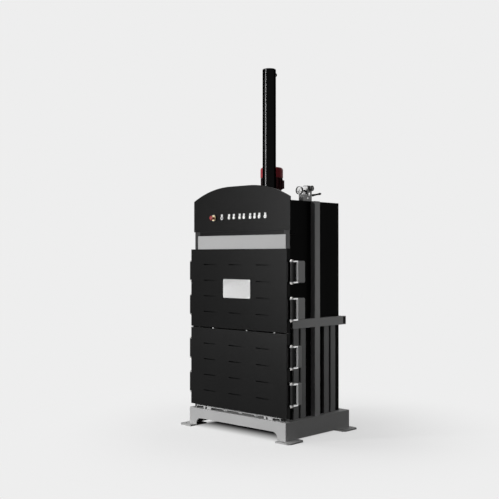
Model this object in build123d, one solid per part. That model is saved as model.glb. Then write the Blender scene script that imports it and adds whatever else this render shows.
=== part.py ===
from build123d import *
import os
from math import cos, radians, sin

# Recycling baler, in millimetres. X runs across the front, +Y to the back,
# +Z up. The origin is on the floor, in the middle of the four foot plates.

# Base and feet
foot_side_overhang = 80.0
foot_front_overhang = 53.0
foot_rear_overhang = 21.0
foot_width = 150.0
foot_length = 200.0
foot_thickness = 12.0
foot_corner = 25.0
anchor_hole_radius = 9.0
anchor_inset_x = 40.0
anchor_inset_y = 60.0
base_half_x = 570.0
base_front = -412.0
base_rear = 444.0
base_top = 160.0
base_sheet = 8.0
arch_leg = 92.0
arch_top = 74.0
arch_corner = 50.0
bearer_width = 60.0

# Chamber
wall_outer = 502.0
wall_sheet = 5.0
flange_outer = 560.0
closing_plane = -350.0
body_rear = 378.0
body_top = 1974.0
top_sheet = 8.0
floor_top = 186.0
floor_sheet = 6.0
floor_front = -392.0
strap_positions = (-360.0, -180.0, 0.0, 180.0, 360.0)
strap_slot = 30.0
strap_depth = 20.0
strap_wall = 4.0
channel_setback = 46.0
rest_middle = 361.0
rest_width = 94.0
rest_thickness = 12.0
rest_window = (-25.0, -4.0)
rod_hole_gap = 10.0
running_gap = 0.5

# Frame on the outside of the chamber
column_centre = 25.0
column_width = 68.0
column_proud = 45.0
frame_wall = 5.0
rib_width = 65.0
rib_proud = 18.0
rib_wall = 4.0
rib_offsets = (-248.0, -157.0, 157.0, 248.0)
belt_bottom = 912.0
belt_top = 984.0
belt_front = -297.0
rear_rib_positions = (-330.0, -110.0, 110.0, 330.0)

# Top front of the body
beam_half_width = 519.0
beam_sheet = 4.0
beam_bottom = 1555.0
beam_top = 1687.0
beam_lip = 12.0
hood_half_width = 568.0
hood_bottom = 1724.0
hood_shoulder = 1998.0
hood_top = 2112.0
hood_flat_half = 110.0
hood_sheet = 3.0
hood_rim = 12.0
header_lap = 15.0
switch_shelf = 1800.0
switch_room = 60.0
shoulder_depth = 88.0
shoulder_sheet = 3.0

# Doors
door_half_width = 568.0
door_thickness = 38.0
door_sheet = 4.0
door_seal_gap = 6.0
lower_door_bottom = 192.0
lower_door_top = 876.0
upper_door_bottom = 886.0
upper_door_top = 1570.0
door_rib_offset = 158.0
slot_columns = (-331.0, -22.0, 297.0)
slot_offsets = (-207.0, -69.0, 69.0, 207.0)
slot_length = 140.0
slot_height = 8.0
guide_positions = (-545.0, -286.0, 118.0, 432.0)
guide_length = 18.0
guide_proud = 3.0

# Hinges and locks, the same brackets on both sides
pin_x = 592.0
pin_y = -363.0
pin_radius = 8.0
pin_clearance = 0.1
pin_head = 10.0
pin_head_flats = 22.0
lock_radius = 14.5
bracket_offset = 152.0
bracket_half_height = 91.0
bracket_strap = 10.0
bracket_half_width = 16.0
bracket_web_front = -303.0
bracket_bend = 14.0
bracket_back_wall = 8.0
bracket_upper_rear = -215.0
barrel_radius = 17.0
barrel_end_gap = 0.3
leaf_thickness = 20.0
nose_plate = 7.0
nose_rear = -305.0
nose_front_gap = 0.6
nose_side_gap = 2.2
nose_end_gap = 2.0

# Press
press_y = 25.0
pad_thickness = 16.5
platen_front = -330.0
platen_rear = 362.0
platen_bottom = 1600.0
platen_height = 180.0
platen_plate = 20.0
platen_skirt = 8.0
platen_rib = 16.0
strap_groove_depth = 8.0
boss_radius = 62.0
pad_width = 70.0
pad_height = 140.0
pad_y_offset = 250.0
rod_radius = 35.0
tube_radius = 60.0
tube_wall = 10.0
cylinder_top = 3174.0
cap_thickness = 30.0
piston_height = 60.0
piston_clearance = 0.3
top_spare = 20.0
flange_half = 100.0
flange_thickness = 30.0
flange_corner = 15.0
flange_bolt_offset = 78.0
flange_bolt_flats = 30.0
flange_bolt_head = 13.0
port_radius = 17.0
port_length = 26.0
port_bore = 8.0
cap_port_drop = 9.0
gland_port_rise = 35.0

# Drive on the body top
tank_x = (-480.0, -62.0)
tank_y = (132.0, 304.0)
tank_height = 126.0
tank_sheet = 4.0
tank_corner = 12.0
filler_inset = 48.0
filler_radius = 22.0
filler_height = 18.0
motor_x = -146.0
motor_y = 222.0
motor_flange_radius = 80.0
motor_flange_thickness = 12.0
motor_core_radius = 90.0
fin_radius = 101.0
fin_count = 18
fin_thickness = 4.0
fin_end_gap = 10.0
terminal_half_width = 50.0
terminal_depth = 10.0
terminal_proud = 18.0
motor_height = 118.0
cowl_radius = 104.0
cowl_bottom = 2226.0
cowl_top = 2322.0
cowl_sheet = 3.0
cowl_round = 22.0
cowl_round_steps = 3
cowl_slot_count = 12
cowl_slot_width = 9.0
cowl_slot_length = 52.0
cowl_slot_middle = 54.0
shield_thickness = 10.0
shaft_radius = 10.0
shaft_length = 42.0
fan_radius = 86.0
fan_hub_radius = 24.0
fan_root_radius = 20.0
fan_blades = 8
fan_blade = 3.0
fan_blade_start = 2.0
fan_blade_rise = 10.0
fan_gap = 8.0

# Control valve on the right top edge
valve_x = 470.0
valve_width = 50.0
valve_y = (-44.0, 14.0)
valve_height = 133.0
valve_foot_front = -98.0
valve_foot_height = 55.0
valve_chamfer = 5.0
gauge_radius = 34.0
gauge_front = -129.0
gauge_depth = 20.0
gauge_z = 2062.0
gauge_wall = 3.0
gauge_dial_depth = 8.5
gauge_dial_sheet = 1.5
spindle_radius = 1.5
stem_radius = 7.0
needle_width = 3.2
needle_tail = 8.0
needle_tip_gap = 6.0
needle_rest_angle = 225.0
knob_y = 2.0
knob_z = 2084.0
knob_radius = 24.0
knob_rim = 8.0
knob_hub = 7.0
knob_spoke = 6.0
knob_thickness = 7.0
knob_gap = 9.0
knob_spindle = 4.0
spindle_depth = 10.0
lever_y = 26.0
lever_z = 2024.0
lever_eye_radius = 8.0
lever_pin = 3.0
ear_radius = 9.0
ear_gap = 11.0
ear_thickness = 5.0
lever_slope = 10.0
lever_length = 140.0
lever_radius = 5.0
lever_ball = 9.0
lever_tip = 5.4
lever_grip = 50.0

# Controls on the hood
switch_z = 1841.0
switch_positions = (-213.0, -125.0, -67.0, 3.0, 52.0, 126.0, 177.0, 230.0, 297.0)
switch_kinds = ("selector", "button", "button", "lamp", "button", "button", "lamp", "button", "lamp")
bezel_radius = 14.0
bezel_proud = 3.0
cap_radius = 9.0
cap_proud = 8.0
cap_clearance = 0.3
button_travel = 4.0
button_spare = 0.2
plunger_side = 7.0
plunger_length = 18.0
contact_block_side = 26.0
contact_block_length = 40.0
selector_grip = 6.0
selector_proud = 8.0
stop_x = -311.0
stop_z = 1844.0
stop_collar_radius = 29.0
stop_collar_proud = 7.0
stop_head_radius = 20.0
stop_head_proud = 44.0
stop_head_depth = 18.0
stop_dome = 7.0
stop_dome_radius = 15.0
stop_rim = 12.0
stop_travel = 5.0

# Places worked out from the sizes above
arch_half_width = base_half_x - arch_leg
platen_half_x = wall_outer - wall_sheet - running_gap - pad_thickness
door_back = closing_plane - door_seal_gap
door_front = door_back - door_thickness
hood_front = closing_plane - beam_sheet - hood_sheet
flange_top = body_top + flange_thickness
tank_top = body_top + tank_height
column_outer = wall_outer + column_proud
bracket_outer = pin_x + bracket_half_width
bracket_web_rear = bracket_web_front + bracket_strap
upper_door_middle = (upper_door_bottom + upper_door_top) / 2
lower_door_middle = (lower_door_bottom + lower_door_top) / 2
upper_brackets = (upper_door_middle + bracket_offset, upper_door_middle - bracket_offset)
lower_brackets = (lower_door_middle + bracket_offset, lower_door_middle - bracket_offset)
first_rib_front = column_centre + rib_offsets[0] - rib_width / 2

os.makedirs("parts", exist_ok=True)


def block(x, y, z):
    """A rectangular block between two limits on each axis."""
    centre = Pos((x[0] + x[1]) / 2, (y[0] + y[1]) / 2, (z[0] + z[1]) / 2)
    return centre * Box(x[1] - x[0], y[1] - y[0], z[1] - z[0])


def rise(plan, bottom, top):
    """A plan drawn on the floor, raised between two heights."""
    return Pos(0, 0, bottom) * extrude(plan, top - bottom)


def through(front_view, front, rear):
    """A front view (X across, Z up), carried from front to rear."""
    plane = Plane(origin=(0, rear, 0), x_dir=(1, 0, 0), z_dir=(0, -1, 0))
    return extrude(plane * front_view, rear - front)


def across(side_view, left, right):
    """A side view (Y across, Z up), carried from left to right."""
    plane = Plane(origin=(left, 0, 0), x_dir=(0, 1, 0), z_dir=(1, 0, 0))
    return extrude(plane * side_view, right - left)


def rectangle(u, v):
    """A rectangle between two limits on each axis of its sketch."""
    return Pos((u[0] + u[1]) / 2, (v[0] + v[1]) / 2) * Rectangle(u[1] - u[0], v[1] - v[0])


def other_side(shape):
    """The mirror image of a right-hand piece."""
    return mirror(shape, about=Plane.YZ)


def turned(points, x, z, front):
    """A turned piece with its axis along +Y; points are (radius, distance behind front)."""
    outline = make_face(Polyline(*points, close=True))
    plane = Plane(origin=(x, front, z), x_dir=(1, 0, 0), z_dir=(0, 0, -1))
    axis = Axis((x, front, z), (0, 1, 0))
    return revolve(plane * (mirror(outline, about=Plane.XZ)), axis)


def turned_upright(points, x, y):
    """A turned piece with its axis along Z; points are (radius, height)."""
    outline = make_face(Polyline(*points, close=True))
    plane = Plane(origin=(x, y, 0), x_dir=(1, 0, 0), z_dir=(0, -1, 0))
    return revolve(plane * outline, Axis((x, y, 0), (0, 0, 1)))


def write(name, shape):
    """Write one node."""
    export_step(shape, f"parts/{name}.step")


# Foot plates: outer corners cut off, one anchor hole each beside the base
def foot_plate(side, end):
    """The foot plate at one corner; side is 1 on the right, end is 1 at the rear."""
    outer_x = base_half_x + foot_side_overhang
    outer_y = base_rear + foot_rear_overhang if end > 0 else -base_front + foot_front_overhang
    outline = rectangle((outer_x - foot_width, outer_x), (outer_y - foot_length, outer_y))
    outline = chamfer(outline.vertices().group_by(Axis.X)[-1], foot_corner)
    hole = Pos(outer_x - anchor_inset_x, outer_y - anchor_inset_y) * Circle(anchor_hole_radius)
    plate = rise(outline - hole, 0, foot_thickness)
    if side < 0:
        plate = mirror(plate, about=Plane.YZ)
    if end < 0:
        plate = mirror(plate, about=Plane.XZ)
    return plate


for side, side_name in ((1, "right"), (-1, "left")):
    for end, end_name in ((1, "rear"), (-1, "front")):
        write(f"foot_plate_{end_name}_{side_name}", foot_plate(side, end))


# Base frame: a box of sheet open below, arched at front and rear, with two bearers
def base_frame():
    outside = block((-base_half_x, base_half_x), (base_front, base_rear), (foot_thickness, base_top))
    outside = fillet(outside.edges().filter_by(Axis.Z), base_sheet)
    inner_half = base_half_x - base_sheet
    inside = block(
        (-inner_half, inner_half),
        (base_front + base_sheet, base_rear - base_sheet),
        (foot_thickness, base_top - base_sheet),
    )
    arch = rectangle((-arch_half_width, arch_half_width), (0, arch_top))
    arch = fillet(arch.vertices().filter_by(lambda v: v.Y > arch_top / 2), arch_corner)
    frame = outside - inside - through(arch, base_front - 1, base_rear + 1)
    for side in (-1, 1):
        middle = side * wall_outer
        frame += block(
            (middle - bearer_width / 2, middle + bearer_width / 2),
            (base_front + base_sheet, base_rear - base_sheet),
            (arch_top, base_top - base_sheet),
        )
    return frame


write("base_frame", base_frame())


# Chamber floor: a folded deck with strap channels under slots, and two rests at its front edge
def floor_plate():
    inner = wall_outer - wall_sheet - running_gap
    rear = body_rear - wall_sheet
    under = floor_top - floor_sheet
    deck = rectangle((-inner, inner), (under, floor_top))
    for side in (-1, 1):
        edge = side * (inner - strap_wall / 2)
        deck += rectangle((edge - strap_wall / 2, edge + strap_wall / 2), (base_top, floor_top))
    floor = through(deck, floor_front, rear)
    channels = Sketch()
    slots = Sketch()
    for x in strap_positions:
        half = strap_slot / 2
        channels += rectangle((x - half - strap_wall, x + half + strap_wall), (base_top, floor_top))
        slots += rectangle((x - half, x + half), (floor_top - strap_depth, floor_top + 1))
    floor += through(channels, floor_front + channel_setback, rear)
    floor -= through(slots, floor_front + channel_setback, rear + 1)
    for middle in (-rest_middle, rest_middle):
        rest = rectangle((middle - rest_width / 2, middle + rest_width / 2), (base_top, under))
        rest -= rectangle((middle + rest_window[0], middle + rest_window[1]), (base_top - 1, under + 1))
        floor += through(rest, floor_front, floor_front + rest_thickness)
    return floor


write("floor_plate", floor_plate())


# Side walls: wall and front flange folded from one sheet
def side_wall():
    plan = rectangle((wall_outer - wall_sheet, wall_outer), (closing_plane, body_rear))
    plan += rectangle((wall_outer - wall_sheet, flange_outer), (closing_plane, closing_plane + wall_sheet))
    return rise(plan, base_top, body_top - top_sheet)


write("side_wall_right", side_wall())
write("side_wall_left", other_side(side_wall()))

# Rear wall between the side walls
rear_half = wall_outer - wall_sheet
rear_wall = block(
    (-rear_half, rear_half), (body_rear - wall_sheet, body_rear), (base_top, body_top - top_sheet)
)
write("rear_wall", rear_wall)

# Top plate with the hole for the piston rod
top_outline = rectangle((-wall_outer, wall_outer), (closing_plane, body_rear))
top_outline -= Pos(0, press_y) * Circle(rod_radius + rod_hole_gap)
top_plate = rise(top_outline, body_top - top_sheet, body_top)
write("top_plate", top_plate)


# Header: a folded sheet that closes the chamber behind the hood and leaves room for the switches
def header_plate():
    low = beam_top - header_lap
    back = closing_plane + switch_room
    side_view = rectangle((closing_plane, closing_plane + wall_sheet), (low, switch_shelf))
    side_view += rectangle((closing_plane, back), (switch_shelf, switch_shelf + wall_sheet))
    side_view += rectangle((back - wall_sheet, back), (switch_shelf, body_top - top_sheet))
    return across(side_view, -rear_half, rear_half)


write("header_plate", header_plate())


# Light crosspiece over the doors, with a stiffening lip folded back between the walls
def front_beam():
    inner = wall_outer - wall_sheet - running_gap
    face = block(
        (-beam_half_width, beam_half_width),
        (closing_plane - beam_sheet, closing_plane),
        (beam_bottom, beam_top),
    )
    lip = block(
        (-inner, inner),
        (closing_plane, closing_plane + beam_lip),
        (beam_bottom, beam_bottom + beam_sheet),
    )
    return face + lip


write("front_beam", front_beam())


# Shoulder covers: folded boxes on the outside of the walls beside the hood
def shoulder_cover():
    low = beam_top
    front = closing_plane + wall_sheet
    high = body_top - top_sheet
    outside = block((wall_outer, flange_outer), (front, front + shoulder_depth), (low, high))
    inside = block(
        (wall_outer, flange_outer - shoulder_sheet),
        (front, front + shoulder_depth - shoulder_sheet),
        (low + shoulder_sheet, high - shoulder_sheet),
    )
    return outside - inside


write("shoulder_cover_right", shoulder_cover())
write("shoulder_cover_left", other_side(shoulder_cover()))


# Upright columns: channels with their web outwards
def channel_plan(centre, width, proud, wall):
    """Plan of a channel that stands with its open side on the right wall."""
    plan = rectangle((wall_outer, wall_outer + proud), (centre - width / 2, centre + width / 2))
    inner = width / 2 - wall
    plan -= rectangle((wall_outer - 1, wall_outer + proud - wall), (centre - inner, centre + inner))
    return plan


column = rise(channel_plan(column_centre, column_width, column_proud, frame_wall), base_top, body_top)
write("column_right", column)
write("column_left", other_side(column))


# Short ribs under the belt
def side_ribs():
    ribs = []
    for offset in rib_offsets:
        plan = channel_plan(column_centre + offset, rib_width, rib_proud, rib_wall)
        ribs.append(rise(plan, base_top, belt_bottom))
    return ribs


write("ribs_right", Compound(side_ribs()))
write("ribs_left", Compound([other_side(rib) for rib in side_ribs()]))


# Side belts: rectangular tube in two lengths, in front of the column and behind it
def belt_piece(front, rear):
    outside = rectangle((wall_outer, column_outer), (belt_bottom, belt_top))
    inside = rectangle(
        (wall_outer + frame_wall, column_outer - frame_wall),
        (belt_bottom + frame_wall, belt_top - frame_wall),
    )
    return through(outside - inside, front, rear)


belt_pieces = [
    belt_piece(belt_front, column_centre - column_width / 2),
    belt_piece(column_centre + column_width / 2, body_rear),
]
write("belts_right", Compound(belt_pieces))
write("belts_left", Compound([other_side(piece) for piece in belt_pieces]))


# Rear belt: a crosswise tube with open ends
def rear_belt():
    outside = rectangle((body_rear, body_rear + column_proud), (belt_bottom, belt_top))
    inside = rectangle(
        (body_rear + frame_wall, body_rear + column_proud - frame_wall),
        (belt_bottom + frame_wall, belt_top - frame_wall),
    )
    return across(outside - inside, -column_outer, column_outer)


write("rear_belt", rear_belt())


# Rear ribs from the base to the body top, cut where the rear belt crosses
def rear_ribs():
    ribs = []
    for x in rear_rib_positions:
        plan = rectangle((x - rib_width / 2, x + rib_width / 2), (body_rear, body_rear + rib_proud))
        inner = rib_width / 2 - rib_wall
        plan -= rectangle((x - inner, x + inner), (body_rear - 1, body_rear + rib_proud - rib_wall))
        ribs.append(rise(plan, base_top, belt_bottom))
    return ribs


write("ribs_rear", Compound(rear_ribs()))


# Brackets: a bent strap that holds the upright pin, on a folded stand-off
def bracket(middle, rear):
    low = middle - bracket_half_height
    high = middle + bracket_half_height
    front = pin_y - bracket_half_width
    strap = rectangle((front, bracket_web_rear), (low, high))
    strap = fillet(strap.vertices().filter_by(lambda v: v.X > bracket_web_front), bracket_bend)
    gap = rectangle((front - 1, bracket_web_front), (low + bracket_strap, high - bracket_strap))
    inner_bend = bracket_bend - bracket_strap
    gap = fillet(gap.vertices().filter_by(lambda v: v.X > bracket_web_front - 1), inner_bend)
    solid = across(strap - gap, pin_x - bracket_half_width, bracket_outer)
    plan = rectangle((pin_x - bracket_half_width, bracket_outer), (pin_y, bracket_web_rear))
    plan += Pos(pin_x, pin_y) * Circle(bracket_half_width)
    solid = solid & rise(plan, low - 1, high + 1)
    solid -= rise(Pos(pin_x, pin_y) * Circle(pin_radius + pin_clearance), low - 1, high + 1)
    shell = rectangle((wall_outer, bracket_outer), (low, high))
    shell = fillet(shell.vertices().filter_by(lambda v: v.X > bracket_outer - 1), bracket_bend)
    hollow = rectangle(
        (wall_outer - 1, bracket_outer - bracket_back_wall),
        (low + bracket_back_wall, high - bracket_back_wall),
    )
    return solid + through(shell - hollow, bracket_web_rear, rear)


right_brackets = [bracket(middle, bracket_upper_rear) for middle in upper_brackets]
right_brackets += [bracket(middle, first_rib_front) for middle in lower_brackets]
write("brackets_right", Compound(right_brackets))
write("brackets_left", Compound([other_side(piece) for piece in right_brackets]))


# Pins: a round shank with a hexagon head above and a nut below
def upright_pin(x, middle):
    low = middle - bracket_half_height
    high = middle + bracket_half_height
    shank = rise(Pos(x, pin_y) * Circle(pin_radius), low, high)
    hexagon = RegularPolygon(pin_head_flats / 2, 6, major_radius=False)
    head = rise(Pos(x, pin_y) * hexagon, high, high + pin_head)
    nut = rise(Pos(x, pin_y) * hexagon, low - pin_head, low)
    return shank + head + nut


hinge_pins = [upright_pin(-pin_x, middle) for middle in upper_brackets + lower_brackets]
write("hinge_pins", Compound(hinge_pins))


# Lock pins: a thick round bar between the legs, half cut away where the door's nose passes
def lock_pin(middle):
    reach = bracket_half_height - bracket_strap - barrel_end_gap
    bar = Pos(pin_x, pin_y) * Circle(lock_radius)
    bar -= rectangle((pin_x - lock_radius - 1, pin_x), (pin_y - lock_radius - 1, pin_y + lock_radius + 1))
    pin = upright_pin(pin_x, middle)
    pin -= block(
        (pin_x - pin_radius - 1, pin_x),
        (pin_y - pin_radius - 1, pin_y + pin_radius + 1),
        (middle - reach, middle + reach),
    )
    return pin + rise(bar, middle - reach, middle + reach)


lock_names = ("upper_door_top", "upper_door_bottom", "lower_door_top", "lower_door_bottom")
for place, middle in zip(lock_names, upper_brackets + lower_brackets):
    write(f"lock_pin_{place}", lock_pin(middle))


# Doors: hollow sheet panels with slots, hinge barrels and lock noses
def door(bottom, top, hinge_heights):
    panel = block((-door_half_width, door_half_width), (door_front, door_back), (bottom, top))
    front_edges = panel.edges().filter_by(Axis.Z).sort_by(Axis.Y)[:2]
    panel = fillet(front_edges, door_sheet)
    middle = (bottom + top) / 2
    limits = (-door_half_width, -door_rib_offset, door_rib_offset, door_half_width)
    for left, right in zip(limits, limits[1:]):
        panel -= block(
            (left + door_sheet, right - door_sheet),
            (door_front + door_sheet, door_back - door_sheet),
            (bottom + door_sheet, top - door_sheet),
        )
    slots = Sketch()
    for x in slot_columns:
        for offset in slot_offsets:
            slots += Pos(x, middle + offset) * Rectangle(slot_length, slot_height)
    panel -= through(slots, door_front - 1, door_front + door_sheet + 1)
    for height in hinge_heights:
        panel += hinge_barrel(height)
        panel += lock_nose(height)
    for height in hinge_heights:
        bore = Pos(-pin_x, pin_y) * Circle(pin_radius + pin_clearance)
        panel -= rise(bore, height - bracket_half_height, height + bracket_half_height)
    return panel


def hinge_barrel(height):
    """Barrel round a hinge pin, with the leaf that joins it to the door's left edge."""
    reach = bracket_half_height - bracket_strap - barrel_end_gap
    plan = Pos(-pin_x, pin_y) * Circle(barrel_radius)
    plan += rectangle((-pin_x, -door_half_width), (pin_y - leaf_thickness / 2, pin_y + leaf_thickness / 3))
    return rise(plan, height - reach, height + reach)


def lock_nose(height):
    """Nose on the door's right edge that sits behind a lock pin."""
    reach = bracket_half_height - bracket_strap - nose_end_gap
    plan = rectangle((door_half_width, door_half_width + nose_plate), (door_front + door_sheet, nose_rear))
    plan += rectangle((door_half_width, pin_x - nose_side_gap), (pin_y, nose_rear))
    plan -= Pos(pin_x, pin_y) * Circle(lock_radius + nose_front_gap)
    return rise(plan, height - reach, height + reach)


write("upper_door", door(upper_door_bottom, upper_door_top, upper_brackets))
write("lower_door", door(lower_door_bottom, lower_door_top, lower_brackets))

# Strap guides: small lugs on the lower door, in the gap under the upper door
door_gap = upper_door_bottom - lower_door_top
guides = []
for x in guide_positions:
    limits_y = (door_front - guide_proud, door_back - door_sheet)
    outline = rectangle((x - guide_length / 2, x + guide_length / 2), limits_y)
    outline = chamfer(outline.vertices().group_by(Axis.Y)[0], guide_proud)
    guides.append(rise(outline, lower_door_top, lower_door_top + door_gap - running_gap))
write("strap_guides", Compound(guides))


# Platen: a ribbed steel box, open above, with strap grooves below and a boss for the rod
def platen():
    top = platen_bottom + platen_height
    middle_y = (platen_front + platen_rear) / 2
    body = block((-platen_half_x, platen_half_x), (platen_front, platen_rear), (platen_bottom, top))
    half_rib = platen_rib / 2
    pocket_x = (half_rib, platen_half_x - platen_skirt)
    pockets_y = (
        (platen_front + platen_skirt, middle_y - half_rib),
        (middle_y + half_rib, platen_rear - platen_skirt),
    )
    for limits in pockets_y:
        pocket = block(pocket_x, limits, (platen_bottom + platen_plate, top + 1))
        body -= pocket
        body -= other_side(pocket)
    body += rise(Pos(0, press_y) * Circle(boss_radius), platen_bottom + platen_plate, top)
    for x in strap_positions:
        body -= block(
            (x - strap_slot / 2, x + strap_slot / 2),
            (platen_front - 1, platen_rear + 1),
            (platen_bottom - 1, platen_bottom + strap_groove_depth),
        )
    socket = Pos(0, press_y) * Circle(rod_radius + pin_clearance / 2)
    body -= rise(socket, platen_bottom + platen_plate, top + 1)
    return body


write("platen", platen())

# Guide pads between the platen and the side walls
pads = []
pad_middle = platen_bottom + platen_height / 2
for side in (-1, 1):
    for end in (-1, 1):
        inner = platen_half_x
        outer = platen_half_x + pad_thickness
        limits = sorted((side * inner, side * outer))
        y = (platen_front + platen_rear) / 2 + end * pad_y_offset
        pad = block(
            limits,
            (y - pad_width / 2, y + pad_width / 2),
            (pad_middle - pad_height / 2, pad_middle + pad_height / 2),
        )
        pads.append(pad)
write("guide_pads", Compound(pads))

# Piston rod with its piston at the top
bore_radius = tube_radius - tube_wall
piston_top = cylinder_top - cap_thickness - top_spare
rod_bottom = platen_bottom + platen_plate
piston_rod = turned_upright(
    [
        (0, rod_bottom),
        (rod_radius, rod_bottom),
        (rod_radius, piston_top - piston_height),
        (bore_radius - piston_clearance, piston_top - piston_height),
        (bore_radius - piston_clearance, piston_top),
        (0, piston_top),
    ],
    0,
    press_y,
)
write("piston_rod", piston_rod)


# Cylinder: a flange with the rod gland and its four bolts
def cylinder_flange():
    outline = fillet(Rectangle(2 * flange_half, 2 * flange_half).vertices(), flange_corner)
    outline -= Circle(rod_radius + pin_clearance)
    pieces = [Pos(0, press_y, 0) * rise(outline, body_top, flange_top)]
    for x in (-flange_bolt_offset, flange_bolt_offset):
        for y in (-flange_bolt_offset, flange_bolt_offset):
            head = Pos(x, press_y + y) * RegularPolygon(flange_bolt_flats / 2, 6, major_radius=False)
            pieces.append(rise(head, flange_top, flange_top + flange_bolt_head))
    return pieces


write("cylinder_flange", Compound(cylinder_flange()))


# Cylinder tube with its cap and two ports
def beside_tube(radius, inner, outer, height, turn):
    """A round bar that stands out of the tube's side at a height; turn 0 points to the rear."""
    bar = through(Pos(0, height) * Circle(radius), inner, outer)
    return Pos(0, press_y, 0) * Rot(0, 0, turn) * bar


def cylinder_tube():
    cap_bottom = cylinder_top - cap_thickness
    tube = turned_upright(
        [
            (bore_radius, flange_top),
            (tube_radius, flange_top),
            (tube_radius, cylinder_top - 5),
            (tube_radius - 5, cylinder_top),
            (0, cylinder_top),
            (0, cap_bottom),
            (bore_radius, cap_bottom),
        ],
        0,
        press_y,
    )
    end = tube_radius + port_length
    for height, turn in ((cap_bottom - cap_port_drop, 0), (flange_top + gland_port_rise, 90)):
        tube += beside_tube(port_radius, tube_radius - tube_wall / 2, end, height, turn)
        tube -= beside_tube(port_bore, bore_radius - tube_wall / 2, end + 1, height, turn)
    return tube


write("cylinder_tube", cylinder_tube())


# Oil tank with a filler neck
def oil_tank():
    tank = block(tank_x, tank_y, (body_top, tank_top))
    tank = fillet(tank.edges().filter_by(Axis.Z), tank_corner)
    tank -= block(
        (tank_x[0] + tank_sheet, tank_x[1] - tank_sheet),
        (tank_y[0] + tank_sheet, tank_y[1] - tank_sheet),
        (body_top + tank_sheet, tank_top - tank_sheet),
    )
    neck = Pos(tank_x[0] + filler_inset, tank_y[0] + filler_inset) * Circle(filler_radius)
    return tank + rise(neck, tank_top, tank_top + filler_height)


write("oil_tank", oil_tank())


# Motor: flange, finned body, end shield inside the cowl, shaft and terminal box
def motor():
    base = tank_top + motor_flange_thickness
    top = base + motor_height
    centre = Pos(motor_x, motor_y)
    body = rise(centre * Circle(motor_flange_radius), tank_top, base)
    body += rise(centre * Circle(motor_core_radius), base, top)
    fin = rectangle((0, fin_radius), (-fin_thickness / 2, fin_thickness / 2))
    fins = Sketch() + [centre * Rot(0, 0, 360 * step / fin_count) * fin for step in range(fin_count)]
    body += rise(fins, base + fin_end_gap, top - fin_end_gap)
    body += rise(centre * Circle(cowl_radius - cowl_sheet), top, top + shield_thickness)
    body += block(
        (motor_x - terminal_half_width, motor_x + terminal_half_width),
        (motor_y + motor_core_radius - terminal_depth, motor_y + fin_radius + terminal_proud),
        (base + 2 * fin_end_gap, top - 2 * fin_end_gap),
    )
    body += rise(centre * Circle(shaft_radius), top, top + shield_thickness + shaft_length)
    return body


write("motor", motor())


# Motor cowl: a deep-drawn cup with a rounded shoulder and a slotted top
def cowl_profile(radius, top, shoulder):
    """Half of the cup's outline, with its shoulder in short straight steps."""
    points = [(0, cowl_bottom - 1), (radius, cowl_bottom - 1)]
    for step in range(cowl_round_steps + 1):
        angle = radians(90 * step / cowl_round_steps)
        points.append((radius - shoulder + shoulder * cos(angle), top - shoulder + shoulder * sin(angle)))
    return points + [(0, top)]


def motor_cowl():
    cup = turned_upright(cowl_profile(cowl_radius, cowl_top, cowl_round), motor_x, motor_y)
    cup -= turned_upright(
        cowl_profile(cowl_radius - cowl_sheet, cowl_top - cowl_sheet, cowl_round - cowl_sheet),
        motor_x,
        motor_y,
    )
    centre = Pos(motor_x, motor_y)
    slot = Pos(cowl_slot_middle, 0) * Rectangle(cowl_slot_length, cowl_slot_width)
    step = 360 / cowl_slot_count
    slots = Sketch() + [centre * Rot(0, 0, step * turn) * slot for turn in range(cowl_slot_count)]
    return cup - rise(slots, cowl_top - 2 * cowl_sheet, cowl_top + 1)


write("motor_cowl", motor_cowl())


# Fan on the motor shaft, under the cowl
def motor_fan():
    low = tank_top + motor_flange_thickness + motor_height + shield_thickness + fan_gap
    high = low + shaft_length - fan_gap
    centre = Pos(motor_x, motor_y)
    hub = rise(centre * Circle(fan_hub_radius), low, high)
    blade = rectangle((fan_root_radius, fan_radius), (-fan_blade / 2, fan_blade / 2))
    step = 360 / fan_blades
    blades = Sketch() + [centre * Rot(0, 0, step * turn) * blade for turn in range(fan_blades)]
    top = high + fan_blade_rise
    fan = hub + rise(blades, low + fan_blade_start, top)
    return fan - rise(centre * Circle(shaft_radius + pin_clearance), low - 1, top + 1)


write("motor_fan", motor_fan())


# Hood: arched front panel with a shallow rim round its sides and top
def hood_outline(inset):
    half = hood_half_width - inset
    shoulder = hood_shoulder - inset
    top = hood_top - inset
    flat = Line((-hood_flat_half, top), (hood_flat_half, top))
    right = TangentArc((hood_flat_half, top), (half, shoulder), tangent=(1, 0))
    left = TangentArc((-hood_flat_half, top), (-half, shoulder), tangent=(-1, 0))
    sides = Polyline((half, shoulder), (half, hood_bottom), (-half, hood_bottom), (-half, shoulder))
    return make_face([flat, right, left, sides])


def hood():
    panel = through(hood_outline(0), hood_front, hood_front + hood_sheet)
    rim = through(hood_outline(0) - hood_outline(hood_sheet), hood_front, hood_front + hood_rim)
    panel += rim
    panel += block(
        (-hood_half_width, hood_half_width),
        (hood_front, closing_plane),
        (hood_bottom, hood_bottom + hood_sheet),
    )
    holes = Sketch()
    for x in switch_positions:
        holes += Pos(x, switch_z) * Circle(cap_radius + cap_clearance)
    holes += Pos(stop_x, stop_z) * Circle(cap_radius + cap_clearance)
    return panel - through(holes, hood_front - 1, hood_front + hood_sheet + 1)


write("hood", hood())


# Switch units: a ring in front of the panel and a contact block behind it
def switch_unit(x, z, radius, proud):
    """The fixed pieces of one unit; the plunger slides in the contact block's square bore."""
    middle = Pos(x, z)
    ring = middle * (Circle(radius) - Circle(cap_radius + cap_clearance))
    back = hood_front + hood_sheet
    bore_side = plunger_side + 2 * pin_clearance
    case = middle * Rectangle(contact_block_side, contact_block_side)
    case = through(case, back, back + contact_block_length)
    bore_end = back + plunger_length + 2 * button_travel
    bore = through(middle * Rectangle(bore_side, bore_side), back - 1, bore_end)
    return [through(ring, hood_front - proud, hood_front), case - bore]


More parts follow.
